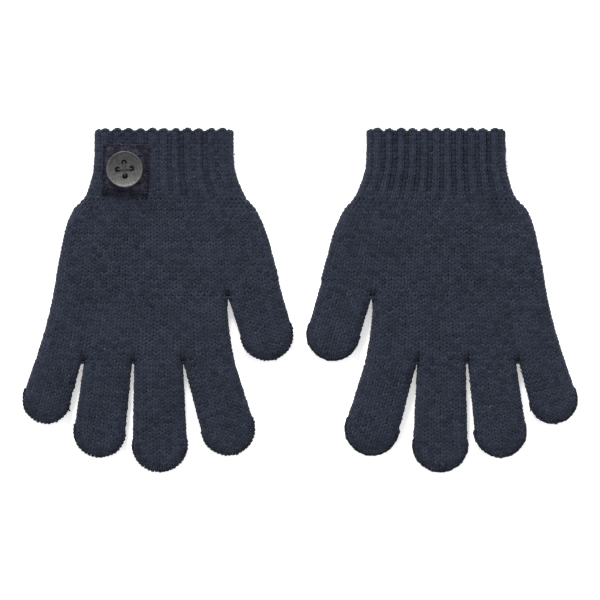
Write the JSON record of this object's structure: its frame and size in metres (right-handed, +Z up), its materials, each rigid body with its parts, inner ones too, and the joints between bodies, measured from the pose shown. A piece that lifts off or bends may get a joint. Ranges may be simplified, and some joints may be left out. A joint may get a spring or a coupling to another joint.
{
  "type": "pair of knitted gloves",
  "caption": "Pair of small dark navy knitted gloves with ribbed cuffs, laid flat, one with a felt patch and a metal button.",
  "frame": {"origin": "bottom centre of the pair's box, on the surface that the gloves lie on, midway between them", "axes": "+X across the pair from the right-hand glove to the left-hand glove, +Y along the gloves from fingertips to cuffs, +Z up off the surface"},
  "size_m": [0.2326, 0.1444, 0.0141],
  "materials": {
    "plain_knit": "matt acrylic knit, heathered dark navy",
    "rib_knit": "matt acrylic rib knit, heathered dark navy",
    "seam_yarn": "closing yarn in the knit's own navy",
    "elastic_yarn": "covered elastic yarn",
    "felt": "black felt with a soft nap",
    "gunmetal": "dark aged metal, lightly hammered",
    "button_yarn": "dark grey sewing thread"
  },
  "bodies": {
    "right_hand": {"right_lower_palm": "plain_knit", "right_upper_palm": "plain_knit", "right_crotch_ties": "seam_yarn"},
    "right_cuff_body": {"right_cuff": "rib_knit", "right_cuff_edge": "rib_knit", "right_cuff_elastic": "elastic_yarn", "patch": "felt", "button_thread": "button_yarn"},
    "right_thumb_body": {"right_thumb": "plain_knit", "right_thumb_seam": "seam_yarn"},
    "right_index_body": {"right_index": "plain_knit", "right_index_seam": "seam_yarn"},
    "right_middle_body": {"right_middle": "plain_knit", "right_middle_seam": "seam_yarn"},
    "right_ring_body": {"right_ring": "plain_knit", "right_ring_seam": "seam_yarn"},
    "right_little_body": {"right_little": "plain_knit", "right_little_seam": "seam_yarn"},
    "left_hand": {"left_lower_palm": "plain_knit", "left_upper_palm": "plain_knit", "left_crotch_ties": "seam_yarn"},
    "left_cuff_body": {"left_cuff": "rib_knit", "left_cuff_edge": "rib_knit", "left_cuff_elastic": "elastic_yarn"},
    "left_thumb_body": {"left_thumb": "plain_knit", "left_thumb_seam": "seam_yarn"},
    "left_index_body": {"left_index": "plain_knit", "left_index_seam": "seam_yarn"},
    "left_middle_body": {"left_middle": "plain_knit", "left_middle_seam": "seam_yarn"},
    "left_ring_body": {"left_ring": "plain_knit", "left_ring_seam": "seam_yarn"},
    "left_little_body": {"left_little": "plain_knit", "left_little_seam": "seam_yarn"},
    "button_body": {"button": "gunmetal"}
  },
  "joints": [
    {"name": "right_cuff_fold", "type": "hinge", "parent": "right_hand", "child": "right_cuff_body", "pos_m": [-0.057, 0.0423, 0.01], "axis": [1, 0, 0], "range_deg": [0, 90]},
    {"name": "right_thumb_fold", "type": "hinge", "parent": "right_hand", "child": "right_thumb_body", "pos_m": [-0.0194, 0.0047, 0.008], "axis": [-0.961, -0.2767, 0], "range_deg": [0, 90]},
    {"name": "right_index_fold", "type": "hinge", "parent": "right_hand", "child": "right_index_body", "pos_m": [-0.0379, -0.0266, 0.008], "axis": [-1, 0, 0], "range_deg": [0, 90]},
    {"name": "right_middle_fold", "type": "hinge", "parent": "right_hand", "child": "right_middle_body", "pos_m": [-0.0593, -0.0266, 0.008], "axis": [-1, 0, 0], "range_deg": [0, 90]},
    {"name": "right_ring_fold", "type": "hinge", "parent": "right_hand", "child": "right_ring_body", "pos_m": [-0.0805, -0.0266, 0.008], "axis": [-1, 0, 0], "range_deg": [0, 90]},
    {"name": "right_little_fold", "type": "hinge", "parent": "right_hand", "child": "right_little_body", "pos_m": [-0.1016, -0.0266, 0.008], "axis": [-1, 0, 0], "range_deg": [0, 90]},
    {"name": "left_cuff_fold", "type": "hinge", "parent": "left_hand", "child": "left_cuff_body", "pos_m": [0.057, 0.0423, 0.01], "axis": [1, 0, 0], "range_deg": [0, 90]},
    {"name": "left_thumb_fold", "type": "hinge", "parent": "left_hand", "child": "left_thumb_body", "pos_m": [0.0194, 0.0047, 0.008], "axis": [-0.961, 0.2767, 0], "range_deg": [0, 90]},
    {"name": "left_index_fold", "type": "hinge", "parent": "left_hand", "child": "left_index_body", "pos_m": [0.0379, -0.0266, 0.008], "axis": [-1, 0, 0], "range_deg": [0, 90]},
    {"name": "left_middle_fold", "type": "hinge", "parent": "left_hand", "child": "left_middle_body", "pos_m": [0.0593, -0.0266, 0.008], "axis": [-1, 0, 0], "range_deg": [0, 90]},
    {"name": "left_ring_fold", "type": "hinge", "parent": "left_hand", "child": "left_ring_body", "pos_m": [0.0805, -0.0266, 0.008], "axis": [-1, 0, 0], "range_deg": [0, 90]},
    {"name": "left_little_fold", "type": "hinge", "parent": "left_hand", "child": "left_little_body", "pos_m": [0.1016, -0.0266, 0.008], "axis": [-1, 0, 0], "range_deg": [0, 90]},
    {"name": "left_glove_lift", "type": "slide", "parent": "right_hand", "child": "left_hand", "axis": [0, 0, 1], "range_m": [0, 0.1]},
    {"name": "button_turn", "type": "hinge", "parent": "right_cuff_body", "child": "button_body", "pos_m": [-0.0733, 0.0547, 0.0126], "axis": [0, 0, 1], "range_deg": [-10, 10]}
  ]
}
